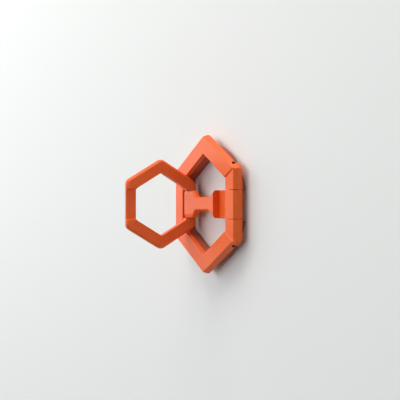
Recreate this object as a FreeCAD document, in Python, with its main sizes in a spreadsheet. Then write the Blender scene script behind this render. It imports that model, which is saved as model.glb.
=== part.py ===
import FreeCAD, Part
import math
import os
import Sketcher

# Magnetic ring stand: a hexagonal frame on a round magnet carrier, an arm that
# lifts out of the frame, and a six-sided finger ring on the arm's far end.
# Frame: Z = 0 is the underside of the pad, the origin is at its centre,
# +X points to the arm's hinge and +Y runs along the hinge axes.
# Rest pose: the arm lies flat in the frame and the ring stands upright.

doc = FreeCAD.newDocument("ring_stand")
V = FreeCAD.Vector
T30 = math.tan(math.radians(30.0))
C30 = math.cos(math.radians(30.0))
S30 = 0.5

# ---------------------------------------------------------------- dimensions
DIMS = [
    ("frame_apothem", 28.3), ("opening_apothem", 20.3), ("frame_top", 7.05),
    ("frame_seat", 3.6), ("skirt_bottom", 2.1), ("vertex_round", 1.2),
    ("skirt_low", 3.0), ("block_start", 22.3), ("fill_left", 19.2), ("fill_left_half", 17.9),
    ("fill_right", 23.0), ("fill_right_half", 12.8), ("corner_boss_x", 22.85),
    ("corner_boss_y", 14.7), ("corner_boss_radius", 4.0), ("corner_boss_top", 4.1),
    ("frame_top_in", 0.9), ("frame_top_drop", 2.75), ("frame_low_in", 1.1),
    ("frame_low_rise", 1.95), ("inner_round", 0.8), ("top_round", 0.3),
    ("lug_start", 20.2), ("lug_gap_half", 6.65), ("groove_width", 0.3),
    ("groove_depth", 0.65), ("groove_start", 22.6), ("groove_end", 34.0),
    ("groove_slope_width", 1.0), ("groove_slope_depth", 0.5),
    ("plate_radius", 27.7), ("plate_bottom", 0.6), ("boss_radius", 26.3), ("seat_radius", 26.36),
    ("plate_edge", 0.35), ("collar_apothem", 21.9), ("collar_top", 4.65),
    ("collar_room", 0.05), ("flange_top", 2.95), ("lug_floor", 2.05), ("notch_half", 7.2),
    ("channel_inner", 23.95), ("channel_outer", 26.95), ("channel_top", 1.7),
    ("channel_angle", 20.0), ("magnet_inner", 24.1), ("magnet_outer", 26.8),
    ("magnet_bottom", 0.66), ("magnet_top", 1.46), ("magnet_count", 16),
    ("magnet_angle", 21.0), ("magnet_gap_deg", 0.7), ("yoke_top", 1.66),
    ("pad_radius", 27.2), ("pad_opening", 20.7), ("pad_top", 0.5),
    ("film_radius", 26.9), ("film_opening", 21.0),
    ("screw_circle", 22.85), ("screw_radius", 0.6), ("screw_head_radius", 0.9),
    ("screw_sink_radius", 0.95), ("screw_sink_top", 1.3), ("screw_head_bottom", 0.7),
    ("screw_tip", 6.0), ("screw_hole_top", 6.1), ("screw_hole_room", 0.04),
    ("arm_axis_x", 24.0), ("arm_axis_z", 4.7), ("arm_pin_radius", 0.9),
    ("arm_pin_half", 14.5), ("arm_sleeve_inner", 0.93), ("arm_sleeve_outer", 1.35),
    ("arm_right", 28.25), ("arm_right_top", 27.35), ("arm_right_low", 27.2), ("arm_ridge", 4.2),
    ("arm_half", 6.45), ("arm_bottom", 1.9), ("arm_left_bottom", 2.35), ("arm_underside", 4.3),
    ("under_left", -14.0), ("under_rise", -12.2), ("under_fall", 6.6), ("under_right", 8.6),
    ("arm_groove_end", 20.3), ("arm_step", 9.2), ("arm_groove_floor", 3.7),
    ("waist_right", 4.6), ("waist_left", -7.6), ("waist_half", 3.4),
    ("taper_left", -10.3), ("arm_left", -18.65), ("arm_chamfer", 1.0),
    ("flank_in", 1.6), ("flank_drop", 0.5), ("flank_end", -8.0),
    ("arm_corner", 0.5), ("arm_left_corner", 2.2), ("arm_edge", 0.3), ("waist_round", 1.2),
    ("ring_axis_x", -16.3), ("ring_axis_z", 4.7), ("ring_pin_radius", 0.8),
    ("ring_pin_half", 10.0), ("ring_sleeve_inner", 0.83), ("ring_sleeve_outer", 1.2),
    ("ring_apothem", 18.59), ("ring_far", 18.0), ("ring_hole_apothem", 12.93), ("ring_reach", 16.53),
    ("ring_top", 1.0), ("ring_bottom", -2.05), ("ring_round", 3.2),
    ("ring_hole_round", 1.0), ("ring_top_round", 0.8), ("ring_low_round", 1.2),
    ("ring_hole_chamfer", 0.25), ("ring_barrel_radius", 2.35), ("ring_barrel_half", 10.2),
    ("ring_gap_end", -11.9), ("recess_half", 6.8), ("recess_depth", 1.3),
    ("recess_slope", 0.5), ("washer_thick", 0.15), ("washer_room", 0.05),
    ("arm_washer_radius", 2.25), ("ring_washer_radius", 2.2), ("sleeve_slot", 0.4),
]
sheet = doc.addObject("Spreadsheet::Sheet", "dims")
sheet.Label = "dims"
for row, (alias, value) in enumerate(DIMS, start=1):
    sheet.set("A%d" % row, alias)
    sheet.set("B%d" % row, str(value))
    sheet.setAlias("B%d" % row, alias)
doc.recompute()
D = {alias: float(sheet.get(alias)) for alias, _ in DIMS}


# ------------------------------------------------------------------- helpers
def body(name):
    part = doc.addObject("PartDesign::Body", name)
    part.Label = name
    return part


def plane(part, role):
    return [f for f in part.Origin.OriginFeatures if f.Role == role][0]


def sketch(part, name, role="XY_Plane", offset=None):
    sk = part.newObject("Sketcher::SketchObject", name)
    sk.AttachmentSupport = [(plane(part, role), "")]
    sk.MapMode = "FlatFace"
    if offset:
        sk.setExpression("AttachmentOffset.Base.z", offset)
    return sk


def bind(sk, kind, args, value, expression, name):
    index = sk.addConstraint(Sketcher.Constraint(kind, *args, value))
    sk.renameConstraint(index, name)
    sk.setExpression("Constraints." + name, expression)


def hexagon(sk, alias, tag):
    """Regular hexagon about the origin: vertices on the Y axis, flats across X."""
    a = D[alias]
    pts = [(0, a / C30), (-a, a * T30), (-a, -a * T30), (0, -a / C30), (a, -a * T30), (a, a * T30)]
    n = sk.GeometryCount
    for i in range(6):
        p, q = pts[i], pts[(i + 1) % 6]
        sk.addGeometry(Part.LineSegment(V(p[0], p[1], 0), V(q[0], q[1], 0)), False)
    for i in range(6):
        sk.addConstraint(Sketcher.Constraint("Coincident", n + i, 2, n + (i + 1) % 6, 1))
    sk.addConstraint(Sketcher.Constraint("PointOnObject", n, 1, -2))
    for i in range(3):
        sk.addConstraint(Sketcher.Constraint("Symmetric", n + i, 1, n + i + 3, 1, -1, 1))
    sk.addConstraint(Sketcher.Constraint("Vertical", n + 1))
    sk.addConstraint(Sketcher.Constraint("Horizontal", n + 1, 1, n + 5, 1))
    bind(sk, "DistanceX", (-1, 1, n + 5, 1), a, "dims." + alias, tag + "_apothem")
    bind(sk, "DistanceY", (-1, 1, n + 5, 1), a * T30, "dims.%s * tan(30 deg)" % alias, tag + "_half_side")
    bind(sk, "DistanceY", (-1, 1, n, 1), a / C30, "dims.%s / cos(30 deg)" % alias, tag + "_vertex")


def round_hexagon(sk, alias, radius, tag):
    """Hexagon like the one above, its corners drawn as arcs of one bound radius."""
    a, r = D[alias], D[radius]
    core = "(dims.%s - dims.%s)" % (alias, radius)
    n = sk.GeometryCount
    for k in range(6):
        t = math.radians(30 + 60 * k)
        x, y = (a - r) / C30 * math.cos(t), (a - r) / C30 * math.sin(t)
        sk.addGeometry(Part.ArcOfCircle(Part.Circle(V(x, y, 0), V(0, 0, 1), r),
                                        t - math.radians(30), t + math.radians(30)), False)
    for k in range(6):
        p = sk.getPoint(n + k, 2)
        q = sk.getPoint(n + (k + 1) % 6, 1)
        sk.addGeometry(Part.LineSegment(p, q), False)
    for k in range(6):
        sk.addConstraint(Sketcher.Constraint("Tangent", n + k, 2, n + 6 + k, 1))
        sk.addConstraint(Sketcher.Constraint("Tangent", n + 6 + k, 2, n + (k + 1) % 6, 1))
    for k in range(6):
        t = math.radians(30 + 60 * k)
        x, y = (a - r) / C30 * math.cos(t), (a - r) / C30 * math.sin(t)
        if k in (1, 4):
            sk.addConstraint(Sketcher.Constraint("PointOnObject", n + k, 3, -2))
        else:
            bind(sk, "DistanceX", (-1, 1, n + k, 3), x, "%s%s" % ("-" if x < 0 else "", core), "%s_x%d" % (tag, k))
        ey = core + (" / cos(30 deg)" if k in (1, 4) else " * tan(30 deg)")
        bind(sk, "DistanceY", (-1, 1, n + k, 3), y, "%s%s" % ("-" if y < 0 else "", ey), "%s_y%d" % (tag, k))
    bind(sk, "Radius", (n,), r, "dims." + radius, tag + "_radius")
    for k in range(1, 6):
        sk.addConstraint(Sketcher.Constraint("Equal", n, n + k))


def circle(sk, radius, tag, cx=None, cy=None):
    """Circle bound to a radius cell, at the origin or at two bound distances."""
    n = sk.GeometryCount
    x = cx[0] if cx else 0.0
    y = cy[0] if cy else 0.0
    sk.addGeometry(Part.Circle(V(x, y, 0), V(0, 0, 1), radius[0]), False)
    if cx is None and cy is None:
        sk.addConstraint(Sketcher.Constraint("Coincident", n, 3, -1, 1))
    else:
        if cx:
            bind(sk, "DistanceX", (-1, 1, n, 3), x, cx[1], tag + "_x")
        else:
            sk.addConstraint(Sketcher.Constraint("PointOnObject", n, 3, -2))
        if cy:
            bind(sk, "DistanceY", (-1, 1, n, 3), y, cy[1], tag + "_y")
        else:
            sk.addConstraint(Sketcher.Constraint("PointOnObject", n, 3, -1))
    bind(sk, "Radius", (n,), radius[0], radius[1], tag + "_radius")


def polygon(sk, points, tag):
    """Closed polygon whose corners are each ((x, expression), (y, expression))."""
    n = sk.GeometryCount
    m = len(points)
    for i in range(m):
        p, q = points[i], points[(i + 1) % m]
        sk.addGeometry(Part.LineSegment(V(p[0][0], p[1][0], 0), V(q[0][0], q[1][0], 0)), False)
    for i in range(m):
        sk.addConstraint(Sketcher.Constraint("Coincident", n + i, 2, n + (i + 1) % m, 1))
    for i, (x, y) in enumerate(points):
        if x[1] == "0":
            sk.addConstraint(Sketcher.Constraint("PointOnObject", n + i, 1, -2))
        else:
            bind(sk, "DistanceX", (-1, 1, n + i, 1), x[0], x[1], "%s_x%d" % (tag, i))
        if y[1] == "0":
            sk.addConstraint(Sketcher.Constraint("PointOnObject", n + i, 1, -1))
        else:
            bind(sk, "DistanceY", (-1, 1, n + i, 1), y[0], y[1], "%s_y%d" % (tag, i))


def cell(alias, sign=1):
    return (sign * D[alias], ("dims." if sign > 0 else "-dims.") + alias)


def band(sk, x0, x1, half, tag):
    """Rectangle from x0 to x1, symmetric about the sketch's X axis."""
    up, down = half, (-half[0], "-(%s)" % half[1])
    polygon(sk, [(x0, down), (x1, down), (x1, up), (x0, up)], tag)


def pad(part, name, sk, expression, midplane=False):
    f = part.newObject("PartDesign::Pad", name)
    f.Profile = sk
    f.setExpression("Length", expression)
    f.Midplane = midplane
    sk.Visibility = False
    doc.recompute()
    return f


def pocket(part, name, sk, expression=None, upward=False):
    """Pocket of a bound depth, or through everything both ways."""
    before = part.Shape.Volume
    f = part.newObject("PartDesign::Pocket", name)
    f.Profile = sk
    if expression is None:
        f.Type = "ThroughAll"
        f.Midplane = True
    else:
        f.setExpression("Length", expression)
        f.Reversed = upward
    sk.Visibility = False
    doc.recompute()
    if not part.Shape.Volume < before - 1e-6:
        raise RuntimeError("%s cut nothing" % name)
    return f


def edges(feature, test):
    names = []
    for i, e in enumerate(feature.Shape.Edges, start=1):
        if test(e):
            names.append("Edge%d" % i)
    if not names:
        raise RuntimeError("no edges found on %s" % feature.Name)
    return names


def fillet(part, name, feature, test, expression):
    f = part.newObject("PartDesign::Fillet", name)
    f.Base = (feature, edges(feature, test))
    f.setExpression("Radius", expression)
    doc.recompute()
    return f


def chamfer(part, name, feature, test, expression):
    f = part.newObject("PartDesign::Chamfer", name)
    f.Base = (feature, edges(feature, test))
    f.setExpression("Size", expression)
    doc.recompute()
    return f


def slope(part, name, feature, test, inward, along):
    """Chamfer with its own width on each of the two faces, the second one being the upright wall."""
    f = part.newObject("PartDesign::Chamfer", name)
    f.Base = (feature, edges(feature, test))
    f.ChamferType = "Two distances"
    f.setExpression("Size", "dims." + along)
    f.setExpression("Size2", "dims." + inward)
    doc.recompute()
    return f


def mid(e):
    return e.valueAt(0.5 * (e.FirstParameter + e.LastParameter))


def upright(e):
    b = e.BoundBox
    return b.XLength < 1e-5 and b.YLength < 1e-5 and b.ZLength > 1e-3


def level(e, z):
    b = e.BoundBox
    return abs(b.ZMin - z) < 1e-5 and abs(b.ZMax - z) < 1e-5


def polar(part, name, originals, angle, count):
    f = part.newObject("PartDesign::PolarPattern", name)
    f.Originals = originals
    f.Axis = (plane(part, "Z_Axis"), [""])
    f.Angle = angle
    f.Occurrences = count
    part.Tip = f
    doc.recompute()
    return f


def arc_slot(sk, inner, outer, tag):
    """Open ring between two bound radii, stopping short of the hinge on each side."""
    a = math.radians(D["channel_angle"])
    r0, r1 = D[inner], D[outer]
    n = sk.GeometryCount
    sk.addGeometry(Part.ArcOfCircle(Part.Circle(V(0, 0, 0), V(0, 0, 1), r1), a, 2 * math.pi - a), False)
    sk.addGeometry(Part.ArcOfCircle(Part.Circle(V(0, 0, 0), V(0, 0, 1), r0), a, 2 * math.pi - a), False)
    for sign in (1, -1):
        sk.addGeometry(Part.LineSegment(V(r0 * math.cos(a), sign * r0 * math.sin(a), 0),
                                        V(r1 * math.cos(a), sign * r1 * math.sin(a), 0)), False)
    for i in (0, 1):
        sk.addConstraint(Sketcher.Constraint("Coincident", n + i, 3, -1, 1))
    bind(sk, "Radius", (n,), r1, "dims." + outer, tag + "_outer")
    bind(sk, "Radius", (n + 1,), r0, "dims." + inner, tag + "_inner")
    sk.addConstraint(Sketcher.Constraint("Coincident", n + 2, 1, n + 1, 1))
    sk.addConstraint(Sketcher.Constraint("Coincident", n + 2, 2, n, 1))
    sk.addConstraint(Sketcher.Constraint("Coincident", n + 3, 1, n + 1, 2))
    sk.addConstraint(Sketcher.Constraint("Coincident", n + 3, 2, n, 2))
    sk.addConstraint(Sketcher.Constraint("Symmetric", n, 1, n, 2, -1))
    sk.addConstraint(Sketcher.Constraint("Symmetric", n + 1, 1, n + 1, 2, -1))
    bind(sk, "DistanceY", (-1, 1, n, 1), r1 * math.sin(a),
         "dims.%s * sin(dims.channel_angle * 1 deg)" % outer, tag + "_outer_end")
    bind(sk, "DistanceY", (-1, 1, n + 1, 1), r0 * math.sin(a),
         "dims.%s * sin(dims.channel_angle * 1 deg)" % inner, tag + "_inner_end")


# ------------------------------------------------------------------ hex_frame
# One casting: a hexagonal ring with a skirt outside the round carrier and a
# full-depth right-hand side that holds the arm's pin between two lugs.
frame = body("hex_frame")
sk = sketch(frame, "frame_outline", offset="dims.skirt_bottom")
round_hexagon(sk, "frame_apothem", "vertex_round", "outer")
f = pad(frame, "frame_block", sk, "dims.frame_top - dims.skirt_bottom")
f = slope(frame, "frame_upper_slope", f, lambda e: level(e, D["frame_top"]), "frame_top_in", "frame_top_drop")
f = slope(frame, "frame_lower_slope", f, lambda e: level(e, D["skirt_bottom"]), "frame_low_in", "frame_low_rise")
for z, a in ((D["frame_top"], D["frame_apothem"] - D["frame_top_in"]),
             (D["skirt_bottom"], D["frame_apothem"] - D["frame_low_in"])):
    wide = max(v.X for v in f.Shape.Vertexes if abs(v.Z - z) < 1e-5)
    if abs(wide - a) > 1e-4:
        raise RuntimeError("frame slope is turned round at height %.2f: %.3f" % (z, wide))
# round bosses that fill the undercut beside the right-hand corners; left of them
# the skirt is cut higher outside the carrier, and the lugs keep their full depth
sk = sketch(frame, "corner_boss_outline", offset="dims.skirt_bottom")
circle(sk, cell("corner_boss_radius"), "upper", cell("corner_boss_x"), cell("corner_boss_y"))
circle(sk, cell("corner_boss_radius"), "lower", cell("corner_boss_x"), cell("corner_boss_y", -1))
f = pad(frame, "corner_bosses", sk, "dims.corner_boss_top - dims.skirt_bottom")
sk = sketch(frame, "skirt_outline", offset="dims.skirt_bottom")
band(sk, (-D["frame_apothem"] - 3, "-dims.frame_apothem - 3"), cell("block_start"),
     (D["frame_apothem"] + 8, "dims.frame_apothem + 8"), "skirt")
f = pocket(frame, "skirt_raise", sk, "dims.skirt_low - dims.skirt_bottom", upward=True)
sk = sketch(frame, "lug_fill_outline", offset="dims.skirt_bottom")
polygon(sk, [(cell("fill_left"), cell("fill_left_half", -1)), (cell("fill_right"), cell("fill_right_half", -1)),
             (cell("fill_right"), cell("fill_right_half")), (cell("fill_left"), cell("fill_left_half"))], "fill")
f = pad(frame, "lug_fill", sk, "dims.skirt_low - dims.skirt_bottom")
sk = sketch(frame, "opening_outline", offset="dims.skirt_bottom")
round_hexagon(sk, "opening_apothem", "inner_round", "inner")
f = pocket(frame, "frame_opening", sk, "dims.frame_top - dims.skirt_bottom", upward=True)
f = fillet(frame, "opening_top_edge", f,
           lambda e: level(e, D["frame_top"]) and math.hypot(mid(e).x, mid(e).y) < 25.0, "dims.top_round")

# rebate over the carrier: round, but stopping at the full-depth side
sk = sketch(frame, "seat_outline", offset="dims.skirt_bottom")
ang = math.acos(D["lug_start"] / D["seat_radius"])
ry = D["seat_radius"] * math.sin(ang)
sk.addGeometry(Part.ArcOfCircle(Part.Circle(V(0, 0, 0), V(0, 0, 1), D["seat_radius"]), ang, 2 * math.pi - ang), False)
sk.addGeometry(Part.LineSegment(V(D["lug_start"], ry, 0), V(D["lug_start"], -ry, 0)), False)
sk.addConstraint(Sketcher.Constraint("Coincident", 0, 3, -1, 1))
sk.addConstraint(Sketcher.Constraint("Coincident", 1, 1, 0, 1))
sk.addConstraint(Sketcher.Constraint("Coincident", 1, 2, 0, 2))
sk.addConstraint(Sketcher.Constraint("Vertical", 1))
bind(sk, "Radius", (0,), D["seat_radius"], "dims.seat_radius", "seat_radius")
bind(sk, "DistanceX", (-1, 1, 1, 1), D["lug_start"], "dims.lug_start", "seat_end")
pocket(frame, "carrier_seat", sk, "dims.frame_seat - dims.skirt_bottom", upward=True)

# rebate for the carrier's inner collar
sk = sketch(frame, "collar_outline", offset="dims.frame_seat")
ca = D["collar_apothem"] + D["collar_room"]
ce = "(dims.collar_apothem + dims.collar_room)"
cy = (ca / C30 - D["lug_start"] * T30, "%s / cos(30 deg) - dims.lug_start * tan(30 deg)" % ce)
polygon(sk, [((0, "0"), (ca / C30, ce + " / cos(30 deg)")),
             ((-ca, "-" + ce), (ca * T30, ce + " * tan(30 deg)")),
             ((-ca, "-" + ce), (-ca * T30, "-%s * tan(30 deg)" % ce)),
             ((0, "0"), (-ca / C30, "-%s / cos(30 deg)" % ce)),
             (cell("lug_start"), (-cy[0], "-(%s)" % cy[1])),
             (cell("lug_start"), cy)], "collar")
pocket(frame, "collar_seat", sk, "dims.collar_top + dims.collar_room - dims.frame_seat", upward=True)

# gap for the arm's knuckle, and the pin's bore through both lugs
sk = sketch(frame, "gap_outline")
band(sk, (D["lug_start"] - 2, "dims.lug_start - 2"), (D["frame_apothem"] + 3, "dims.frame_apothem + 3"),
     cell("lug_gap_half"), "gap")
pocket(frame, "knuckle_gap", sk)
sk = sketch(frame, "bore_outline", "XZ_Plane")
circle(sk, cell("arm_pin_radius"), "bore", cell("arm_axis_x"), cell("arm_axis_z"))
pocket(frame, "pin_bore", sk)

# two fine mitre grooves on the top face, from inner to outer corner, each a
# narrow slot with a slope up to the side away from the hinge
for side, sign in (("upper", 1), ("lower", -1)):
    sk = sketch(frame, side + "_groove_section", "YZ_Plane")
    sk.AttachmentOffset = FreeCAD.Placement(V(sign * D["groove_start"] * S30, 0, D["groove_start"] * C30),
                                            FreeCAD.Rotation(V(0, 1, 0), 30 * sign))
    sk.setExpression("AttachmentOffset.Base.x", "%d * dims.groove_start * sin(30 deg)" % sign)
    sk.setExpression("AttachmentOffset.Base.z", "dims.groove_start * cos(30 deg)")
    half_w, top = D["groove_width"] / 2, D["frame_top"]
    pts = [(-half_w, "-dims.groove_width / 2", top + 1, "dims.frame_top + 1"),
           (-half_w, "-dims.groove_width / 2", top - D["groove_depth"], "dims.frame_top - dims.groove_depth"),
           (half_w, "dims.groove_width / 2", top - D["groove_depth"], "dims.frame_top - dims.groove_depth"),
           (half_w, "dims.groove_width / 2", top - D["groove_slope_depth"], "dims.frame_top - dims.groove_slope_depth"),
           (half_w + D["groove_slope_width"], "dims.groove_width / 2 + dims.groove_slope_width", top, "dims.frame_top"),
           (half_w + D["groove_slope_width"], "dims.groove_width / 2 + dims.groove_slope_width",
            top + 1, "dims.frame_top + 1")]
    polygon(sk, [((sign * x, ex if sign > 0 else "-(%s)" % ex), (z, ez)) for x, ex, z, ez in pts], side)
    f = pocket(frame, side + "_mitre_groove", sk, "dims.groove_end - dims.groove_start", upward=True)

# screw holes in the underside, one at each flat except the hinge's
sk = sketch(frame, "screw_outline", offset="dims.frame_seat")
sx = (D["screw_circle"] * 0.5, "dims.screw_circle * cos(60 deg)")
sy = (D["screw_circle"] * C30, "dims.screw_circle * sin(60 deg)")
circle(sk, cell("screw_radius"), "hole", sx, sy)
f = pocket(frame, "screw_hole", sk, "dims.screw_hole_top - dims.frame_seat", upward=True)
polar(frame, "screw_holes", [f], 240.0, 5)

# ----------------------------------------------------------------- base_plate
# Round magnet carrier with the frame's hexagonal opening and a low collar.
plate = body("base_plate")
sk = sketch(plate, "plate_outline", offset="dims.plate_bottom")
circle(sk, cell("plate_radius"), "rim")
hexagon(sk, "opening_apothem", "opening")
f = pad(plate, "plate_disc", sk, "dims.frame_seat - dims.plate_bottom")
f = chamfer(plate, "plate_lower_edge", f,
            lambda e: level(e, D["plate_bottom"]) and e.BoundBox.XLength > 50, "dims.plate_edge")
sk = sketch(plate, "plate_collar_outline", offset="dims.frame_seat")
hexagon(sk, "collar_apothem", "collar")
hexagon(sk, "opening_apothem", "opening")
pad(plate, "plate_collar", sk, "dims.collar_top - dims.frame_seat")
sk = sketch(plate, "flange_outline", offset="dims.flange_top")
circle(sk, (D["plate_radius"] + 3, "dims.plate_radius + 3"), "outside")
circle(sk, cell("boss_radius"), "boss")
pocket(plate, "plate_flange", sk, "dims.frame_top", upward=True)
sk = sketch(plate, "lug_relief_outline", offset="dims.lug_floor")
band(sk, (D["lug_start"] - 0.05, "dims.lug_start - 0.05"), (D["plate_radius"] + 3, "dims.plate_radius + 3"),
     (D["plate_radius"] + 3, "dims.plate_radius + 3"), "relief")
pocket(plate, "lug_relief", sk, "dims.frame_top", upward=True)
sk = sketch(plate, "notch_outline")
band(sk, (D["lug_start"] - 2, "dims.lug_start - 2"), (D["plate_radius"] + 3, "dims.plate_radius + 3"),
     cell("notch_half"), "notch")
pocket(plate, "knuckle_notch", sk)
sk = sketch(plate, "channel_outline", offset="dims.plate_bottom")
arc_slot(sk, "channel_inner", "channel_outer", "channel")
pocket(plate, "magnet_channel", sk, "dims.channel_top - dims.plate_bottom", upward=True)
sk = sketch(plate, "plate_screw_outline")
circle(sk, (D["screw_radius"] + D["screw_hole_room"], "dims.screw_radius + dims.screw_hole_room"), "hole", sx, sy)
f1 = pocket(plate, "plate_screw_hole", sk)
sk = sketch(plate, "plate_sink_outline", offset="dims.plate_bottom")
circle(sk, cell("screw_sink_radius"), "sink", sx, sy)
f2 = pocket(plate, "plate_screw_sink", sk, "dims.screw_sink_top - dims.plate_bottom", upward=True)
polar(plate, "plate_screw_holes", [f1, f2], 240.0, 5)

# ------------------------------------------------------- base_pad, pad_adhesive
for name, radius, opening, low, high in (
        ("base_pad", "pad_radius", "pad_opening", None, "dims.pad_top"),
        ("pad_adhesive", "film_radius", "film_opening", "dims.pad_top", "dims.plate_bottom - dims.pad_top")):
    layer = body(name)
    sk = sketch(layer, name + "_outline", offset=low)
    circle(sk, cell(radius), "rim")
    hexagon(sk, opening, "opening")
    pad(layer, name + "_sheet", sk, high)
    sk = sketch(layer, name + "_notch_outline")
    band(sk, (D["lug_start"] - 2, "dims.lug_start - 2"), (D["plate_radius"] + 3, "dims.plate_radius + 3"),
         (D["notch_half"] + 0.15, "dims.notch_half + 0.15"), "notch")
    pocket(layer, name + "_notch", sk)

# ------------------------------------------------------------------ steel_yoke
yoke = body("steel_yoke")
sk = sketch(yoke, "yoke_outline", offset="dims.magnet_top")
arc_slot(sk, "magnet_inner", "magnet_outer", "yoke")
pad(yoke, "yoke_strip", sk, "dims.yoke_top - dims.magnet_top")

# ------------------------------------------------------------- magnet_segments
# Separate arc magnets side by side in the carrier's channel.
count = int(D["magnet_count"])
step = (360.0 - 2 * D["magnet_angle"]) / count
arcs = []
for i in range(count):
    turn = D["magnet_angle"] + i * step + D["magnet_gap_deg"] / 2
    sweep = step - D["magnet_gap_deg"]
    tall = D["magnet_top"] - D["magnet_bottom"]
    arc = Part.makeCylinder(D["magnet_outer"], tall, V(0, 0, D["magnet_bottom"]), V(0, 0, 1), sweep)
    arc = arc.cut(Part.makeCylinder(D["magnet_inner"], tall + 2, V(0, 0, D["magnet_bottom"] - 1), V(0, 0, 1)))
    arc.rotate(V(0, 0, 0), V(0, 0, 1), turn)
    arcs.append(arc.Solids[0])
magnets = doc.addObject("Part::Feature", "magnet_segments")
magnets.Label = "magnet_segments"
magnets.Shape = Part.makeCompound(arcs)
magnets.Placement = FreeCAD.Placement()

# ---------------------------------------------------------------- frame_screws
# Pan-head screws driven up through the carrier, each with a cross recess.
screws = []
for i in range(5):
    a = math.radians(60.0 + 60.0 * i)
    x, y = D["screw_circle"] * math.cos(a), D["screw_circle"] * math.sin(a)
    head = Part.makeCylinder(D["screw_head_radius"], D["screw_sink_top"] - D["screw_head_bottom"],
                             V(x, y, D["screw_head_bottom"]))
    shank = Part.makeCylinder(D["screw_radius"], D["screw_tip"] - D["screw_sink_top"],
                              V(x, y, D["screw_sink_top"]))
    one = head.fuse(shank).removeSplitter()
    for long_x in (True, False):
        w, l = (1.1, 0.28) if long_x else (0.28, 1.1)
        one = one.cut(Part.makeBox(w, l, 0.6, V(x - w / 2, y - l / 2, D["screw_head_bottom"] - 0.3)))
    screws.append(one.Solids[0])
screw_group = doc.addObject("Part::Feature", "frame_screws")
screw_group.Label = "frame_screws"
screw_group.Shape = Part.makeCompound(screws)
screw_group.Placement = FreeCAD.Placement()

# -------------------------------------------------------------------- arm_link
# One H-shaped casting: right knuckle, sunk floor for the folded ring, raised
# body that narrows to a waist, and left knuckle.
arm = body("arm_link")
sk = sketch(arm, "arm_outline", offset="dims.arm_bottom")
half = [("arm_right", "arm_half"), ("arm_step", "arm_half"), ("waist_right", "waist_half"),
        ("waist_left", "waist_half"), ("taper_left", "arm_half"), ("arm_left", "arm_half")]
polygon(sk, [(cell(x), cell(y)) for x, y in half] + [(cell(x), cell(y, -1)) for x, y in reversed(half)], "arm")
f = pad(arm, "arm_block", sk, "dims.frame_top - dims.arm_bottom")
f = fillet(arm, "waist_corners", f,
           lambda e: upright(e) and -11.0 < mid(e).x < 5.0 and abs(mid(e).y) < 4.5, "dims.waist_round")
f = chamfer(arm, "arm_side_chamfers", f,
            lambda e: level(e, D["frame_top"]) and D["taper_left"] < mid(e).x < D["arm_step"]
            and abs(mid(e).y) > 2.0 and e.BoundBox.XLength > 0.05, "dims.arm_chamfer")
sk = sketch(arm, "arm_groove_outline", offset="dims.frame_top")
band(sk, cell("arm_step"), cell("arm_groove_end"), (D["arm_half"] + 2, "dims.arm_half + 2"), "groove")
f = pocket(arm, "ring_groove", sk, "dims.frame_top - dims.arm_groove_floor")

# shallow slopes along both flanks of the left knuckle
sk = sketch(arm, "flank_outline", "YZ_Plane", offset="dims.flank_end")
for side, sign in (("upper", 1), ("lower", -1)):
    pts = [("dims.arm_half - dims.flank_in", D["arm_half"] - D["flank_in"], "dims.frame_top", D["frame_top"]),
           ("dims.arm_half + dims.flank_in", D["arm_half"] + D["flank_in"],
            "dims.frame_top - 2 * dims.flank_drop", D["frame_top"] - 2 * D["flank_drop"]),
           ("dims.arm_half + dims.flank_in", D["arm_half"] + D["flank_in"], "dims.frame_top + 2", D["frame_top"] + 2),
           ("dims.arm_half - dims.flank_in", D["arm_half"] - D["flank_in"], "dims.frame_top + 2", D["frame_top"] + 2)]
    polygon(sk, [((sign * x, ex if sign > 0 else "-(%s)" % ex), (z, ez)) for ex, x, ez, z in pts], side)
f = pocket(arm, "knuckle_flanks", sk, "dims.flank_end - dims.arm_left + 2")

# side view: thin middle, shallower left knuckle, and a right end that bulges like the frame's wall
sk = sketch(arm, "arm_side_outline", "XZ_Plane")
out = (D["arm_right"] + 2, "dims.arm_right + 2")
deep = (D["arm_bottom"] - 1, "dims.arm_bottom - 1")
over = (D["frame_top"] + 1, "dims.frame_top + 1")
polygon(sk, [((D["arm_left"] - 2, "dims.arm_left - 2"), deep), (cell("under_right"), deep),
             (cell("under_right"), cell("arm_bottom")), (cell("under_fall"), cell("arm_underside")),
             (cell("under_rise"), cell("arm_underside")), (cell("under_left"), cell("arm_left_bottom")),
             ((D["arm_left"] - 2, "dims.arm_left - 2"), cell("arm_left_bottom"))], "under")
polygon(sk, [(cell("arm_right_low"), deep), (out, deep), (out, over), (cell("arm_right_top"), over),
             (cell("arm_right_top"), cell("frame_top")), (cell("arm_right"), cell("arm_ridge")),
             (cell("arm_right_low"), cell("arm_bottom"))], "end")
f = pocket(arm, "arm_side", sk)
f = fillet(arm, "arm_right_corner", f,
           lambda e: level(e, D["arm_bottom"]) and e.BoundBox.XLength < 1e-5 and mid(e).x > 27.0, "dims.arm_corner")
f = fillet(arm, "arm_left_lower_corner", f,
           lambda e: level(e, D["arm_left_bottom"]) and e.BoundBox.XLength < 1e-5 and mid(e).x < -18.0,
           "dims.arm_left_corner")
sk = sketch(arm, "arm_bore_outline", "XZ_Plane")
circle(sk, cell("arm_sleeve_outer"), "right_bore", cell("arm_axis_x"), cell("arm_axis_z"))
circle(sk, cell("ring_sleeve_outer"), "left_bore", cell("ring_axis_x"), cell("ring_axis_z"))
pocket(arm, "arm_bores", sk)

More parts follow.
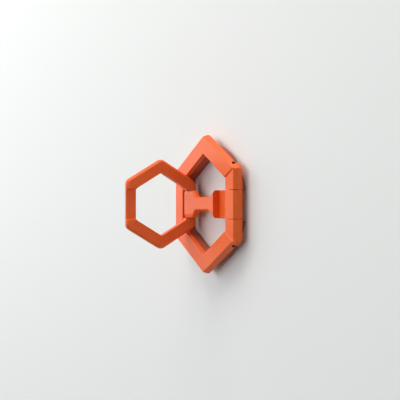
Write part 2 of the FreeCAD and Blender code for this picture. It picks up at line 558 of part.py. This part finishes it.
# ----------------------------------------------------------------- finger_ring
# One casting, drawn flat about its own centre: hexagonal ring, two barrel lugs
# on its open side and a shallow recess under its far bar. Stood upright by its
# placement, with local +X up and local +Z away from the hinge side of the base.
ring = body("finger_ring")
sk = sketch(ring, "ring_outline", offset="dims.ring_bottom")
ra, rf = D["ring_apothem"], D["ring_far"]
far_y = (ra / C30 - rf * T30, "dims.ring_apothem / cos(30 deg) - dims.ring_far * tan(30 deg)")
near_y = (ra * T30, "dims.ring_apothem * tan(30 deg)")
tip_y = (ra / C30, "dims.ring_apothem / cos(30 deg)")
minus = lambda v: (-v[0], "-(%s)" % v[1])
polygon(sk, [((0, "0"), tip_y), (cell("ring_apothem", -1), near_y), (cell("ring_apothem", -1), minus(near_y)),
             ((0, "0"), minus(tip_y)), (cell("ring_far"), minus(far_y)), (cell("ring_far"), far_y)], "outer")
hexagon(sk, "ring_hole_apothem", "inner")
f = pad(ring, "ring_bar", sk, "dims.ring_top - dims.ring_bottom")
far = 0.5 * (D["ring_apothem"] / C30 + D["ring_hole_apothem"] / C30)
f = fillet(ring, "ring_corners", f,
           lambda e: upright(e) and math.hypot(mid(e).x, mid(e).y) > far, "dims.ring_round")
f = fillet(ring, "ring_hole_corners", f,
           lambda e: upright(e) and math.hypot(mid(e).x, mid(e).y) < far, "dims.ring_hole_round")
split = 0.5 * (D["ring_far"] + D["ring_hole_apothem"] / C30)
f = fillet(ring, "ring_top_edge", f,
           lambda e: level(e, D["ring_top"]) and math.hypot(mid(e).x, mid(e).y) > split, "dims.ring_top_round")
f = fillet(ring, "ring_low_edge", f,
           lambda e: level(e, D["ring_bottom"]) and math.hypot(mid(e).x, mid(e).y) > split, "dims.ring_low_round")
f = chamfer(ring, "ring_hole_edges", f,
            lambda e: (level(e, D["ring_top"]) or level(e, D["ring_bottom"]))
            and math.hypot(mid(e).x, mid(e).y) < split, "dims.ring_hole_chamfer")
sk = sketch(ring, "barrel_outline", "XZ_Plane")
circle(sk, cell("ring_barrel_radius"), "barrel", cell("ring_reach", -1))
pad(ring, "lug_barrels", sk, "2 * dims.ring_barrel_half", midplane=True)
sk = sketch(ring, "ring_gap_outline")
band(sk, (-D["ring_apothem"] - 4, "-dims.ring_apothem - 4"), cell("ring_gap_end"), cell("lug_gap_half"), "gap")
pocket(ring, "knuckle_gap_in_ring", sk)
sk = sketch(ring, "recess_outline", "YZ_Plane", offset="dims.ring_hole_apothem - 1.5")
deep = (D["ring_bottom"] + D["recess_depth"], "dims.ring_bottom + dims.recess_depth")
low = (D["ring_bottom"] - D["recess_depth"], "dims.ring_bottom - dims.recess_depth")
wide = (D["recess_half"] + 2 * D["recess_slope"], "dims.recess_half + 2 * dims.recess_slope")
polygon(sk, [((-wide[0], "-(%s)" % wide[1]), low), (wide, low), (cell("recess_half"), deep),
             (cell("recess_half", -1), deep)], "recess")
pocket(ring, "far_bar_recess", sk, "dims.ring_apothem", upward=True)
sk = sketch(ring, "ring_bore_outline", "XZ_Plane")
circle(sk, cell("ring_pin_radius"), "bore", cell("ring_reach", -1))
pocket(ring, "ring_pin_bore", sk)
ring.Placement = FreeCAD.Placement(V(0, 0, 0), FreeCAD.Rotation(V(0, 1, 0), -90))
ring.setExpression("Placement.Base.x", "dims.ring_axis_x")
ring.setExpression("Placement.Base.z", "dims.ring_axis_z + dims.ring_reach")


# ------------------------------------------------------ pins, sleeves, washers
def pin(name, radius, half_length, axis_x, axis_z):
    part = body(name)
    sk = sketch(part, name + "_section", "XZ_Plane")
    circle(sk, cell(radius), "shaft")
    f = pad(part, name + "_shaft", sk, "2 * dims." + half_length, midplane=True)
    chamfer(part, name + "_ends", f, lambda e: e.BoundBox.YLength < 1e-5, "dims.%s / 4" % radius)
    part.setExpression("Placement.Base.x", "dims." + axis_x)
    part.setExpression("Placement.Base.z", "dims." + axis_z)
    return part


def sleeve(name, inner, outer, axis_x, axis_z):
    part = body(name)
    sk = sketch(part, name + "_section", "XZ_Plane")
    circle(sk, cell(outer), "outer")
    circle(sk, cell(inner), "inner")
    pad(part, name + "_tube", sk, "2 * dims.arm_half", midplane=True)
    sk = sketch(part, name + "_slot_outline")
    hw = (D["sleeve_slot"] / 2, "dims.sleeve_slot / 2")
    polygon(sk, [((-hw[0], "-" + hw[1]), (-D["arm_half"] - 1, "-dims.arm_half - 1")),
                 (hw, (-D["arm_half"] - 1, "-dims.arm_half - 1")),
                 (hw, (D["arm_half"] + 1, "dims.arm_half + 1")),
                 ((-hw[0], "-" + hw[1]), (D["arm_half"] + 1, "dims.arm_half + 1"))], "slot")
    pocket(part, name + "_slot", sk, "2 * dims." + outer)
    part.setExpression("Placement.Base.x", "dims." + axis_x)
    part.setExpression("Placement.Base.z", "dims." + axis_z)
    return part


def washers(name, inner, outer, axis_x, axis_z):
    rings = []
    for side, start in (("near", "-dims.arm_half - dims.washer_thick"), ("far", "dims.arm_half")):
        disc = doc.addObject("Part::Cylinder", "%s_%s_disc" % (name, side))
        hole = doc.addObject("Part::Cylinder", "%s_%s_hole" % (name, side))
        disc.setExpression("Radius", "dims." + outer)
        hole.setExpression("Radius", "dims.%s + dims.washer_room" % inner)
        for c in (disc, hole):
            c.setExpression("Height", "dims.washer_thick")
            c.Placement = FreeCAD.Placement(V(0, 0, 0), FreeCAD.Rotation(V(1, 0, 0), -90))
            c.setExpression("Placement.Base.x", "dims." + axis_x)
            c.setExpression("Placement.Base.y", start)
            c.setExpression("Placement.Base.z", "dims." + axis_z)
        cut = doc.addObject("Part::Cut", "%s_%s" % (name, side))
        cut.Base, cut.Tool = disc, hole
        rings.append(cut)
    group = doc.addObject("Part::Compound", name)
    group.Label = name
    group.Links = rings
    doc.recompute()
    return group


pin_a = pin("arm_hinge_pin", "arm_pin_radius", "arm_pin_half", "arm_axis_x", "arm_axis_z")
pin_r = pin("ring_hinge_pin", "ring_pin_radius", "ring_pin_half", "ring_axis_x", "ring_axis_z")
sleeve_a = sleeve("arm_hinge_sleeve", "arm_sleeve_inner", "arm_sleeve_outer", "arm_axis_x", "arm_axis_z")
sleeve_r = sleeve("ring_hinge_sleeve", "ring_sleeve_inner", "ring_sleeve_outer", "ring_axis_x", "ring_axis_z")
washers_a = washers("arm_hinge_washers", "arm_pin_radius", "arm_washer_radius", "arm_axis_x", "arm_axis_z")
washers_r = washers("ring_hinge_washers", "ring_pin_radius", "ring_washer_radius", "ring_axis_x", "ring_axis_z")

# ---------------------------------------------------------------------- output
doc.recompute()
for obj in doc.Objects:
    if "Invalid" in obj.State or "Error" in obj.State:
        raise RuntimeError("%s failed: %s" % (obj.Name, obj.State))
NODES = ["hex_frame", "base_plate", "base_pad", "pad_adhesive", "steel_yoke", "magnet_segments",
         "frame_screws", "arm_link", "finger_ring", "arm_hinge_pin", "ring_hinge_pin",
         "arm_hinge_sleeve", "ring_hinge_sleeve", "arm_hinge_washers", "ring_hinge_washers"]
shapes = {}
for node in NODES:
    obj = doc.getObjectsByLabel(node)[0]
    shape = obj.Shape
    if shape.isNull() or not shape.isValid():
        raise RuntimeError("%s has no valid shape" % node)
    shapes[node] = shape
os.makedirs("parts", exist_ok=True)
for node, shape in shapes.items():
    shape.exportStep("parts/%s.step" % node)
    b = shape.BoundBox
    print("%-20s solids %2d volume %9.2f  x %.2f..%.2f  y %.2f..%.2f  z %.2f..%.2f" % (
        node, len(shape.Solids), shape.Volume, b.XMin, b.XMax, b.YMin, b.YMax, b.ZMin, b.ZMax))
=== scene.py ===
import math
import bmesh
import bpy
from mathutils import Matrix, Vector


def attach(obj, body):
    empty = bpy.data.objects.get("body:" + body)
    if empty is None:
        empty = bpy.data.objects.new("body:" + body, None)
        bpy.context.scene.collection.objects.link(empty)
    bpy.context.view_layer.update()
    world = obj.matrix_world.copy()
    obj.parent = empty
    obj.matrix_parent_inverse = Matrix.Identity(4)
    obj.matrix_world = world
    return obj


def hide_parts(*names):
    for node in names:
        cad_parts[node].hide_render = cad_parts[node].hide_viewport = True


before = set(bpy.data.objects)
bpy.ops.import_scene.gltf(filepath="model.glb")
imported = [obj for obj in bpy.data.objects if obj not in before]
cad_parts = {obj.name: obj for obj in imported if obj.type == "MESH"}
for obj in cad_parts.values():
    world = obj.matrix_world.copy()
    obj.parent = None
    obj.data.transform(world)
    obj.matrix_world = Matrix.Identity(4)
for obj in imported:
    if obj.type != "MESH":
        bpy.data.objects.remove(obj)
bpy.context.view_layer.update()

MM = 0.001
C30, T30 = math.cos(math.radians(30)), math.tan(math.radians(30))
scene = bpy.context.scene


# ------------------------------------------------------------------ the camera
# Looks down on the magnet face's plane from the hinge side, turned so that +Y is up.
cam_data = bpy.data.cameras.new("camera")
cam_data.sensor_width = 36.0
cam_data.lens = 88.937
cam_data.clip_start, cam_data.clip_end = 0.02, 20.0
cam = bpy.data.objects.new("camera", cam_data)
scene.collection.objects.link(cam)
CAM_A = math.radians(61.101)
right = Vector((math.cos(CAM_A), 0, -math.sin(CAM_A)))
up = Vector((0, 1, 0))
back = Vector((math.sin(CAM_A), 0, math.cos(CAM_A)))
place = (-7.581 * right + 1.952 * up + 463.88 * back) * MM
cam.matrix_world = Matrix((
    (right.x, up.x, back.x, place.x),
    (right.y, up.y, back.y, place.y),
    (right.z, up.z, back.z, place.z),
    (0, 0, 0, 1)))
scene.camera = cam


# --------------------------------------------------------------- mesh helpers
def hex_corners(a):
    """Corners of a hexagon of apothem a, anticlockwise, with its vertices on Y."""
    return [(a, -a * T30), (a, a * T30), (0, a / C30), (-a, a * T30), (-a, -a * T30), (0, -a / C30)]


def outline(corners, radii, steps):
    """Closed line through the corners, each rounded to its own radius."""
    pts, n = [], len(corners)
    if not isinstance(radii, (list, tuple)):
        radii = [radii] * n
    for i, r in enumerate(radii):
        c, a, b = Vector(corners[i]), Vector(corners[i - 1]), Vector(corners[(i + 1) % n])
        if r <= 1e-9:
            pts.append(c)
            continue
        u, v = (c - a).normalized(), (b - c).normalized()
        turn = math.atan2(u.x * v.y - u.y * v.x, u.dot(v))
        start = c - u * (r * math.tan(abs(turn) / 2))
        centre = start + Vector((-u.y, u.x)) * math.copysign(r, turn)
        arm = start - centre
        for k in range(steps + 1):
            t = turn * k / steps
            pts.append(centre + Vector((arm.x * math.cos(t) - arm.y * math.sin(t),
                                        arm.x * math.sin(t) + arm.y * math.cos(t))))
    return pts


def inset(corners, depths):
    """Corners of the line moved inward, each side by its own depth."""
    n = len(corners)
    lines = []
    for i in range(n):
        p, q = Vector(corners[i]), Vector(corners[(i + 1) % n])
        d = (q - p).normalized()
        lines.append((p + Vector((-d.y, d.x)) * depths[i], d))
    out = []
    for i in range(n):
        (p, d), (q, e) = lines[i - 1], lines[i]
        cross = d.x * e.y - d.y * e.x
        if abs(cross) < 1e-9:
            out.append(tuple(q))
            continue
        w = q - p
        out.append(tuple(p + d * ((w.x * e.y - w.y * e.x) / cross)))
    return out


def circle(radius, count, cx=0.0, cy=0.0, turn=0.0):
    return [(cx + radius * math.cos(2 * math.pi * (i + turn) / count),
             cy + radius * math.sin(2 * math.pi * (i + turn) / count)) for i in range(count)]


def stack(loops, closed=False):
    """Solid from loops of equal length, listed (points, height), low to high, or round a section."""
    bm = bmesh.new()
    rows = [[bm.verts.new((p[0] * MM, p[1] * MM, z * MM)) for p in pts] for pts, z in loops]
    m = len(rows)
    for k in range(m if closed else m - 1):
        a, b = rows[k], rows[(k + 1) % m]
        for i in range(len(a)):
            j = (i + 1) % len(a)
            bm.faces.new((a[i], a[j], b[j], b[i]))
    if not closed:
        bm.faces.new(list(reversed(rows[0])))
        bm.faces.new(rows[-1])
    return bm


def prism(points, z0, z1):
    return stack([(points, z0), (points, z1)])


def block(x0, x1, y0, y1, z0, z1):
    return prism([(x0, y0), (x1, y0), (x1, y1), (x0, y1)], z0, z1)


def along_y(points, y0, y1):
    """Prism of an (x, z) outline drawn out along Y."""
    bm = prism([(x, -z) for x, z in reversed(points)], y0, y1)
    bm.transform(Matrix.Rotation(math.radians(-90), 4, "X"))
    return bm


def rod(radius, x, z, half, count=40):
    return along_y(circle(radius, count, x, z, 0.5), -half, half)


def along_x(points, x0, x1):
    """Prism of a (y, z) outline drawn out along X."""
    bm = prism(points, x0, x1)
    bm.transform(Matrix(((0, 0, 1, 0), (1, 0, 0, 0), (0, 1, 0, 0), (0, 0, 0, 1))))
    return bm


def sweep(section, corners_at, steps):
    """Bar of a closed (apothem, height) section, led round corners that depend on the apothem."""
    loops = []
    for rho, z in section:
        corners, radius = corners_at(rho)
        loops.append((outline(corners, radius, steps), z))
    bm = stack(loops, closed=True)
    bmesh.ops.recalc_face_normals(bm, faces=bm.faces)
    return bm


def combine(bm, tool, operation="DIFFERENCE"):
    """Boolean of two solids; both are used up."""
    obs = []
    for part in (bm, tool):
        part.normal_update()
        me = bpy.data.meshes.new("tmp")
        part.to_mesh(me)
        part.free()
        ob = bpy.data.objects.new("tmp", me)
        scene.collection.objects.link(ob)
        obs.append(ob)
    mod = obs[0].modifiers.new("cut", "BOOLEAN")
    mod.object, mod.operation, mod.solver = obs[1], operation, "EXACT"
    got = obs[0].evaluated_get(bpy.context.evaluated_depsgraph_get())
    me = bpy.data.meshes.new_from_object(got)
    out = bmesh.new()
    out.from_mesh(me)
    for ob in obs:
        old = ob.data
        bpy.data.objects.remove(ob)
        bpy.data.meshes.remove(old)
    bpy.data.meshes.remove(me)
    bmesh.ops.remove_doubles(out, verts=out.verts, dist=2e-6)
    return out


def soften(bm, width, segments, angle, test=lambda m: True):
    """Rounds the edges that are sharper than an angle and pass a test on their midpoint in mm."""
    bm.normal_update()
    hard = []
    for e in bm.edges:
        if len(e.link_faces) == 2 and e.calc_face_angle() > math.radians(angle):
            if test((e.verts[0].co + e.verts[1].co) / (2 * MM)):
                hard.append(e)
    if hard:
        bmesh.ops.bevel(bm, geom=hard, offset=width * MM, offset_type="OFFSET", segments=segments,
                        profile=0.5, affect="EDGES", clamp_overlap=False, material=-1, loop_slide=True)
    return bm


def piece(bm, name, body, node, material):
    bmesh.ops.remove_doubles(bm, verts=bm.verts, dist=1e-6)
    bm.normal_update()
    me = bpy.data.meshes.new(name)
    for f in bm.faces:
        f.smooth = True
    for e in bm.edges:
        e.smooth = len(e.link_faces) == 2 and e.calc_face_angle() < math.radians(38)
    bm.to_mesh(me)
    bm.free()
    ob = bpy.data.objects.new(name, me)
    scene.collection.objects.link(ob)
    mod = ob.modifiers.new("normals", "WEIGHTED_NORMAL")
    mod.mode, mod.weight, mod.keep_sharp = "FACE_AREA", 60, True
    me.materials.append(material)
    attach(ob, body)
    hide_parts(node)
    return ob


# ------------------------------------------------------------------- materials
def satin(name, deep, pale, rough, grain, bump, edge_lift=0.0, metallic=0.0, specular=0.5, streak=None):
    """Procedural finish: mottled colour, uneven roughness, fine grain and paler edges."""
    m = bpy.data.materials.new(name)
    m.use_nodes = True
    t = m.node_tree
    t.nodes.clear()
    N, L = t.nodes.new, t.links.new
    out = N("ShaderNodeOutputMaterial")
    bsdf = N("ShaderNodeBsdfPrincipled")
    L(bsdf.outputs["BSDF"], out.inputs["Surface"])
    bsdf.inputs["Metallic"].default_value = metallic
    bsdf.inputs["Specular IOR Level"].default_value = specular
    co = N("ShaderNodeTexCoord")
    src = co.outputs["Object"]
    if streak:
        mp = N("ShaderNodeMapping")
        mp.inputs["Scale"].default_value = streak
        L(src, mp.inputs["Vector"])
        src = mp.outputs["Vector"]
    broad = N("ShaderNodeTexNoise")
    broad.inputs["Scale"].default_value = 140.0
    broad.inputs["Detail"].default_value = 3.0
    L(co.outputs["Object"], broad.inputs["Vector"])
    fine = N("ShaderNodeTexNoise")
    fine.inputs["Scale"].default_value = grain
    fine.inputs["Detail"].default_value = 2.0
    L(src, fine.inputs["Vector"])
    both = N("ShaderNodeMix")
    both.data_type = "FLOAT"
    both.inputs["Factor"].default_value = 0.45
    L(broad.outputs["Fac"], both.inputs["A"])
    L(fine.outputs["Fac"], both.inputs["B"])
    ramp = N("ShaderNodeValToRGB")
    ramp.color_ramp.elements[0].position = 0.30
    ramp.color_ramp.elements[1].position = 0.70
    ramp.color_ramp.elements[0].color = (*deep, 1)
    ramp.color_ramp.elements[1].color = (*pale, 1)
    L(both.outputs["Result"], ramp.inputs["Fac"])
    colour = ramp.outputs["Color"]
    if edge_lift > 0:
        geo = N("ShaderNodeNewGeometry")
        bev = N("ShaderNodeBevel")
        bev.samples = 6
        bev.inputs["Radius"].default_value = 0.22 * MM
        dot = N("ShaderNodeVectorMath")
        dot.operation = "DOT_PRODUCT"
        L(geo.outputs["Normal"], dot.inputs[0])
        L(bev.outputs["Normal"], dot.inputs[1])
        edge = N("ShaderNodeMapRange")
        edge.inputs["From Min"].default_value = 0.995
        edge.inputs["From Max"].default_value = 0.90
        edge.inputs["To Min"].default_value = 0.0
        edge.inputs["To Max"].default_value = edge_lift
        L(dot.outputs["Value"], edge.inputs["Value"])
        wear = N("ShaderNodeMath")
        wear.operation = "MULTIPLY"
        L(edge.outputs["Result"], wear.inputs[0])
        L(both.outputs["Result"], wear.inputs[1])
        lift = N("ShaderNodeMix")
        lift.data_type = "RGBA"
        L(wear.outputs["Value"], lift.inputs["Factor"])
        L(colour, lift.inputs[6])
        lift.inputs[7].default_value = (min(1, pale[0] * 1.1), min(1, pale[1] * 1.7), min(1, pale[2] * 1.9), 1)
        colour = lift.outputs[2]
    L(colour, bsdf.inputs["Base Color"])
    rr = N("ShaderNodeMapRange")
    rr.inputs["To Min"].default_value = rough[0]
    rr.inputs["To Max"].default_value = rough[1]
    L(both.outputs["Result"], rr.inputs["Value"])
    L(rr.outputs["Result"], bsdf.inputs["Roughness"])
    bp = N("ShaderNodeBump")
    bp.inputs["Strength"].default_value = bump
    bp.inputs["Distance"].default_value = 0.02 * MM
    L(fine.outputs["Fac"], bp.inputs["Height"])
    L(bp.outputs["Normal"], bsdf.inputs["Normal"])
    return m


ORANGE = satin("orange_metal_satin", (0.87, 0.115, 0.011), (0.93, 0.145, 0.018), (0.38, 0.52), 9000.0, 0.25,
               edge_lift=0.30, specular=0.38)
CARRIER = satin("carrier_plastic_matte", (0.40, 0.060, 0.026), (0.47, 0.080, 0.036), (0.52, 0.66), 6000.0, 0.35,
                edge_lift=0.15)
PAD = satin("soft_pad_rubber", (0.055, 0.055, 0.058), (0.085, 0.085, 0.088), (0.70, 0.85), 5000.0, 0.6)
FILM = satin("adhesive_film", (0.62, 0.60, 0.55), (0.72, 0.71, 0.67), (0.40, 0.55), 3000.0, 0.15)
STEEL = satin("pin_steel", (0.42, 0.42, 0.43), (0.56, 0.56, 0.57), (0.26, 0.42), 7000.0, 0.3, metallic=1.0,
              streak=(1.0, 0.06, 1.0))
MAGNET = satin("magnet_nickel", (0.52, 0.51, 0.49), (0.62, 0.61, 0.59), (0.22, 0.36), 5000.0, 0.15, metallic=1.0)
# near-black brown for the inside of the pin's bore: painted shade standing in for the shade of the deep hole
BORE_PAINTED_SHADE = satin("bore_painted_shade", (0.060, 0.010, 0.004), (0.085, 0.015, 0.006), (0.60, 0.75), 6000.0, 0.3)
WASHER = satin("washer_dark_polymer", (0.016, 0.013, 0.012), (0.028, 0.023, 0.021), (0.55, 0.70), 5000.0, 0.3)
BRASS = satin("spring_brass_satin", (0.58, 0.42, 0.18), (0.70, 0.53, 0.25), (0.28, 0.44), 6000.0, 0.2, metallic=1.0,
              streak=(1.0, 0.1, 1.0))

for node, material in (("pad_adhesive", FILM), ("steel_yoke", STEEL), ("magnet_segments", MAGNET),
                       ("frame_screws", STEEL), ("arm_hinge_pin", STEEL), ("ring_hinge_pin", STEEL),
                       ("arm_hinge_sleeve", BRASS), ("ring_hinge_sleeve", BRASS),
                       ("arm_hinge_washers", WASHER), ("ring_hinge_washers", WASHER)):
    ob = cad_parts[node]
    for i in range(len(ob.material_slots)):
        ob.material_slots[i].link = "OBJECT"
        ob.material_slots[i].material = material


# ------------------------------------------------------------------- hex frame
# Flat on top, bulging outside to a soft ridge at mid height, square inside.
sec = outline([(27.2, 2.1), (28.3, 4.2), (27.4, 7.05), (20.3, 7.05), (20.3, 2.1)],
              [0.12, 0.9, 0.14, 0.28, 0.12], 5)
bm = sweep(sec, lambda a: (hex_corners(a), a - 27.1 if a > 24 else a - 19.5), 8)
# round bosses beside the right-hand corners, and a higher skirt left of them
for sign in (1, -1):
    bm = combine(bm, prism(circle(4.0, 72, 22.85, 14.7 * sign, 0.5), 2.11, 4.1), "UNION")
keep = prism([(19.2, -17.9), (24.0, -11.458), (24.0, 11.458), (19.2, 17.9)], 0.5, 4.0)
bm = combine(bm, combine(block(-40.0, 22.3, -40.0, 40.0, 1.0, 3.0), keep))
ang = math.acos(20.2 / 26.36)
arc = [(26.36 * math.cos(ang + (2 * math.pi - 2 * ang) * i / 150),
        26.36 * math.sin(ang + (2 * math.pi - 2 * ang) * i / 150)) for i in range(151)]
bm = combine(bm, prism(arc, 1.2, 3.6))
ca = 21.95
cy = ca / C30 - 20.2 * T30
bm = combine(bm, prism([(20.2, -cy), (20.2, cy), (0, ca / C30), (-ca, ca * T30), (-ca, -ca * T30),
                        (0, -ca / C30)], 3.0, 4.70))
bm = combine(bm, block(18.0, 30.5, -6.65, 6.65, 1.0, 9.0))
bm = combine(bm, rod(0.9, 24.0, 4.7, 40.0, 36))
for sign in (1, -1):
    # narrow slot along the mitre, with a slope up to the oblique side
    tool = prism([(-0.15, 8.5), (-0.15, 6.4), (0.15, 6.4), (1.15, 7.05), (1.15, 8.5)], 22.6, 34.0)
    tool.transform(Matrix(((-0.5, 0, C30, 0), (C30 * sign, 0, 0.5 * sign, 0), (0, 1, 0, 0), (0, 0, 0, 1))))
    bmesh.ops.recalc_face_normals(tool, faces=tool.faces)
    bm = combine(bm, tool)
for k in range(5):
    a = math.radians(60 + 60 * k)
    bm = combine(bm, prism(circle(0.6, 16, 22.85 * math.cos(a), 22.85 * math.sin(a)), 3.0, 6.1))
bm = soften(bm, 0.14, 3, 40, lambda m: abs(abs(m.y) - 6.65) < 0.02 and m.x > 19.5)
hex_frame = piece(bm, "hex_frame_cast", "base", "hex_frame", ORANGE)
# the pin's bore faces get a near-black colour: painted shade for the deep hole
hex_frame.data.materials.append(BORE_PAINTED_SHADE)
for face in hex_frame.data.polygons:
    mid = face.center / MM
    if abs(mid.y) > 6.8 and math.hypot(mid.x - 24.0, mid.z - 4.7) < 0.95:
        face.material_index = 1

# ------------------------------------------------------------------ base plate
RIM = 168
prof = outline([(8.0, 0.6), (27.7, 0.6), (27.7, 2.95), (26.3, 2.95), (26.3, 3.6), (8.0, 3.6)],
               [0, 0.4, 0.18, 0, 0, 0], 4)
bm = stack([(circle(r, RIM, turn=0.5), z) for r, z in prof])
bm = combine(bm, prism(hex_corners(21.9), 3.0, 4.65), "UNION")
bm = combine(bm, prism(outline(hex_corners(20.3), 0.5, 4), 0.0, 6.0))
bm = combine(bm, block(20.15, 31.0, -31.0, 31.0, 2.05, 9.0))
bm = combine(bm, block(18.2, 31.0, -7.2, 7.2, 0.0, 9.0))
ang = math.radians(20.0)
span = 2 * math.pi - 2 * ang
slot_line = [(26.95 * math.cos(ang + span * i / 120), 26.95 * math.sin(ang + span * i / 120)) for i in range(121)]
slot_line += [(23.95 * math.cos(ang + span * i / 120), 23.95 * math.sin(ang + span * i / 120))
              for i in range(120, -1, -1)]
bm = combine(bm, prism(slot_line, 0.0, 1.7))
for k in range(5):
    a = math.radians(60 + 60 * k)
    x, y = 22.85 * math.cos(a), 22.85 * math.sin(a)
    bm = combine(bm, prism(circle(0.64, 16, x, y), 0.0, 6.0))
    bm = combine(bm, prism(circle(0.95, 20, x, y), 0.0, 1.3))
base_plate = piece(bm, "base_plate_moulded", "base", "base_plate", CARRIER)

# -------------------------------------------------------------------- base pad
bm = prism(circle(27.2, RIM, turn=0.5), 0.0, 0.5)
bm = combine(bm, prism(outline(hex_corners(20.7), 0.6, 4), -1.0, 2.0))
bm = combine(bm, block(18.2, 31.0, -7.35, 7.35, -1.0, 2.0))
bm = soften(bm, 0.14, 3, 40)
base_pad = piece(bm, "base_pad_soft", "base", "base_pad", PAD)

# -------------------------------------------------------------------- arm link
half = [(28.6, 6.45), (9.2, 6.45), (4.6, 3.4), (-7.6, 3.4), (-10.3, 6.45), (-18.65, 6.45)]
plan = half + [(x, -y) for x, y in reversed(half)]
# sides in order: upper flank, taper, waist, taper, knuckle, left end, and the same below, right end
cut_by = [0, 1, 1, 1, 0, 0, 0, 1, 1, 1, 0, 0]
round_at = [0, 0, 1.2, 1.2, 0, 0, 0, 0, 1.2, 1.2, 0, 0]
loops = []
for z, d in ((0.5, 0.0), (6.05, 0.0), (7.6, 1.55)):
    loops.append((outline(inset(plan, [d * c for c in cut_by]), [r + d if r else 0 for r in round_at], 5), z))
bm = stack(loops)
side = outline([(-18.65, 2.35), (-14.0, 2.35), (-12.2, 4.3), (6.6, 4.3), (8.6, 1.9), (27.2, 1.9), (28.25, 4.2),
                (27.35, 7.05), (20.3, 7.05), (20.3, 3.7), (9.2, 3.7), (9.2, 7.05), (-18.65, 7.05)],
               [2.2, 0.8, 0.8, 0.8, 0.8, 0.5, 0.9, 0.14, 0, 0.2, 0.2, 0, 0.2], 5)
bm = combine(bm, along_y(side, -12, 12), "INTERSECT")
for sign in (1, -1):
    line = [(4.76 * sign, 7.05), (4.94 * sign, 7.0219), (8.05 * sign, 6.05), (8.05 * sign, 9.0), (4.76 * sign, 9.0)]
    bm = combine(bm, along_x(line if sign > 0 else line[::-1], -25.0, -8.0))
bm = combine(bm, rod(1.35, 24.0, 4.7, 20.0))
bm = combine(bm, rod(1.2, -16.3, 4.7, 20.0))
bm = soften(bm, 0.14, 3, 24)
arm_link = piece(bm, "arm_link_cast", "arm", "arm_link", ORANGE)


# ----------------------------------------------------------------- finger ring
def ring_corners(a):
    """Six corners of the ring's line: the outer one has its far side a little nearer the middle."""
    if a < 15.5:
        return hex_corners(a), a - 11.93
    far = a - 0.59
    y = a / C30 - far * T30
    return [(far, -y), (far, y), (0, a / C30), (-a, a * T30), (-a, -a * T30), (0, -a / C30)], a - 15.39


sec = outline([(17.69, -2.05), (18.59, -1.15), (18.59, 1.0), (12.93, 1.0), (12.93, -2.05)],
              [0.14, 0.14, 0.8, 0.25, 0.22], 5)
bm = sweep(sec, ring_corners, 10)
bm = combine(bm, rod(2.34, -16.53, 0.0, 10.2, 64), "UNION")
bm = combine(bm, block(-23.0, -11.9, -6.65, 6.65, -6.0, 6.0))
rec = [(-7.8, -3.35), (7.8, -3.35), (6.8, -0.75), (-6.8, -0.75)]
bm = combine(bm, along_x(rec, 11.4, 24.0))
bm = combine(bm, rod(0.8, -16.53, 0.0, 20.0, 32))
bm = soften(bm, 0.12, 3, 36)
bm.transform(Matrix.Translation((-16.3 * MM, 0, 21.23 * MM)) @ Matrix.Rotation(math.radians(-90), 4, "Y"))
finger_ring = piece(bm, "finger_ring_cast", "ring", "finger_ring", ORANGE)


# ----------------------------------------------------------- floor and lighting
def plain(name, colour, rough):
    m = bpy.data.materials.new(name)
    m.use_nodes = True
    b = m.node_tree.nodes["Principled BSDF"]
    b.inputs["Base Color"].default_value = (*colour, 1)
    b.inputs["Roughness"].default_value = rough
    b.inputs["Specular IOR Level"].default_value = 0.2
    return m


bm = bmesh.new()
rings = []
profile = [(0.0, 0.0), (0.5, 0.0), (1.2, 0.0)]
profile += [(1.2 + 0.8 * math.sin(math.radians(a)), 0.8 - 0.8 * math.cos(math.radians(a))) for a in range(10, 91, 10)]
profile += [(2.0, 1.3)]
for r, z in profile[1:]:
    rings.append([bm.verts.new((r * math.cos(2 * math.pi * i / 96), r * math.sin(2 * math.pi * i / 96), z - 3e-5))
                  for i in range(96)])
bm.faces.new(rings[0])
for a, b in zip(rings, rings[1:]):
    for i in range(96):
        j = (i + 1) % 96
        bm.faces.new((a[i], b[i], b[j], a[j]))
me = bpy.data.meshes.new("floor")
bm.normal_update()
for f in bm.faces:
    f.smooth = True
bm.to_mesh(me)
bm.free()
floor = bpy.data.objects.new("floor", me)
scene.collection.objects.link(floor)
me.materials.append(plain("floor_pale", (0.805, 0.825, 0.83), 0.7))


def softbox(name, direction, distance, size, power, colour=(1, 1, 1)):
    data = bpy.data.lights.new(name, "AREA")
    data.shape, data.size, data.size_y = "RECTANGLE", size[0], size[1]
    data.energy, data.color = power, colour
    ob = bpy.data.objects.new(name, data)
    d = Vector(direction).normalized()
    ob.location = d * distance
    ob.rotation_mode = "QUATERNION"
    ob.rotation_quaternion = d.to_track_quat("Z", "Y")
    ob.visible_camera = False
    scene.collection.objects.link(ob)
    return ob


softbox("key", (-0.45, 0.48, 0.75), 1.4, (1.0, 1.0), 6.0)
softbox("overhead", (-0.05, 0.10, 1.0), 1.4, (1.12, 1.12), 7.2)
softbox("side", (-0.08, 0.95, 0.42), 1.26, (0.84, 0.59), 6.9, (1.0, 0.96, 0.88))
softbox("side_low", (0.10, 0.96, 0.24), 1.26, (0.98, 0.50), 4.2, (1.0, 0.96, 0.88))
softbox("sheen", (-0.8755, 0.30, 0.46), 1.4, (1.19, 0.70), 7.0)

world = bpy.data.worlds.new("studio")
scene.world = world
world.use_nodes = True
bg = world.node_tree.nodes["Background"]
bg.inputs["Color"].default_value = (0.95, 0.97, 1.0, 1)
bg.inputs["Strength"].default_value = 0.02
scene.view_settings.view_transform = "Standard"
scene.view_settings.look = "None"
